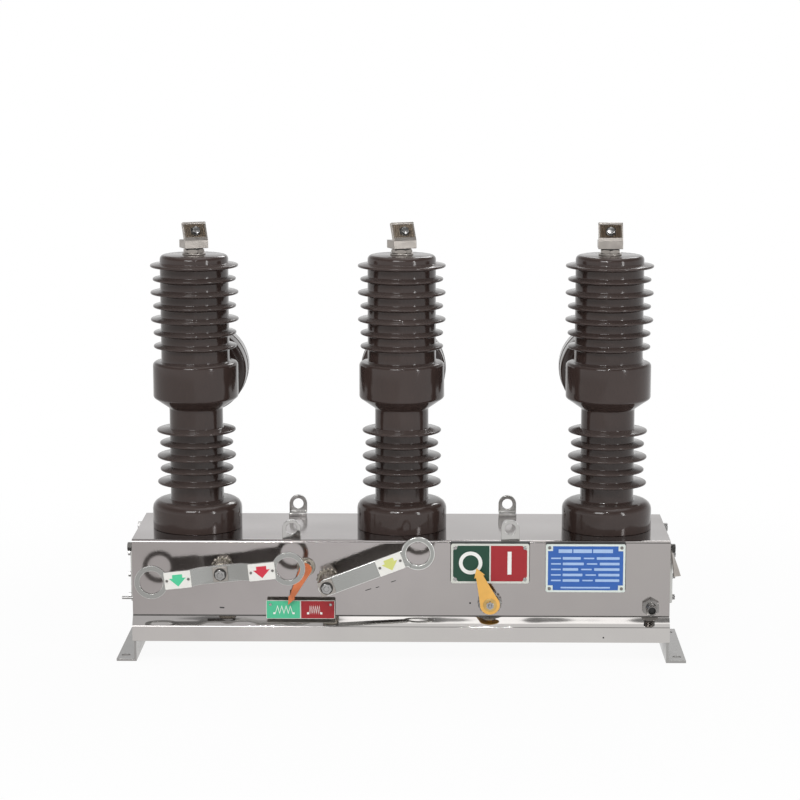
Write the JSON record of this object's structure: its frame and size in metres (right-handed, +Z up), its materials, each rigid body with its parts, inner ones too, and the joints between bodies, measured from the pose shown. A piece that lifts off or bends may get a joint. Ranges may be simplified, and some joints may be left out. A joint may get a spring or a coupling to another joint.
{
  "type": "pole-mounted circuit breaker",
  "caption": "Outdoor pole-mounted circuit breaker: shed insulating poles with rear transformers on a polished steel housing with pull levers and indicators.",
  "frame": {"origin": "on the ground, at the centre of the four holes in the feet", "axes": "+X along the housing, -Y out of the front panel with the levers, +Z up"},
  "size_m": [0.934, 0.5692, 0.7122],
  "materials": {
    "stainless": "mirror-polished stainless steel",
    "cast_resin": "glossy dark grey-brown cast resin",
    "tinned_copper": "dull tin plating",
    "zinc_plate": "bright zinc plating",
    "position_enamel": "gloss enamel in green and red fields",
    "charge_enamel": "gloss enamel in green and red fields",
    "rating_enamel": "gloss blue enamel",
    "yellow_paint": "satin yellow-orange paint",
    "orange_paint": "satin orange paint"
  },
  "bodies": {
    "breaker": {"housing": "stainless", "base_tray": "stainless", "left_foot": "stainless", "right_foot": "stainless", "lug_front_left": "stainless", "lug_front_right": "stainless", "lug_rear_left": "stainless", "lug_rear_right": "stainless", "pole_left": "cast_resin", "pole_centre": "cast_resin", "pole_right": "cast_resin", "transformer_left": "cast_resin", "transformer_centre": "cast_resin", "transformer_right": "cast_resin", "bushing_left": "cast_resin", "bushing_centre": "cast_resin", "bushing_right": "cast_resin", "top_stud_left": "tinned_copper", "top_stud_centre": "tinned_copper", "top_stud_right": "tinned_copper", "top_clamp_left": "tinned_copper", "top_clamp_centre": "tinned_copper", "top_clamp_right": "tinned_copper", "rear_stud_left": "tinned_copper", "rear_stud_centre": "tinned_copper", "rear_stud_right": "tinned_copper", "rear_clamp_left": "tinned_copper", "rear_clamp_centre": "tinned_copper", "rear_clamp_right": "tinned_copper", "shaft_bosses": "stainless", "position_plate": "position_enamel", "charge_plate": "charge_enamel", "rating_plate": "rating_enamel", "drain_nipple": "stainless", "left_end_cover": "stainless", "right_end_cover": "stainless", "trip_rod": "zinc_plate", "earth_strap": "zinc_plate"},
    "open_close": {"open_close_lever": "stainless", "open_close_shaft": "zinc_plate"},
    "charging": {"charging_lever": "stainless", "charging_shaft": "zinc_plate"},
    "position": {"position_pointer": "yellow_paint"},
    "charge_state": {"charge_pointer": "orange_paint"}
  },
  "joints": [
    {"name": "open_close_rock", "type": "hinge", "parent": "breaker", "child": "open_close", "pos_m": [-0.29, -0.151, 0.159], "axis": [0, 1, 0], "range_deg": [-20, 30]},
    {"name": "charging_pull", "type": "hinge", "parent": "breaker", "child": "charging", "pos_m": [-0.118, -0.163, 0.14], "axis": [0, 1, 0], "range_deg": [0, 55]},
    {"name": "position_turn", "type": "hinge", "parent": "breaker", "child": "position", "pos_m": [0.145, -0.128, 0.103], "axis": [0, 1, 0], "range_deg": [0, 40]},
    {"name": "charge_turn", "type": "hinge", "parent": "breaker", "child": "charge_state", "pos_m": [-0.154, -0.128, 0.161], "axis": [0, -1, 0], "range_deg": [0, 48]}
  ]
}
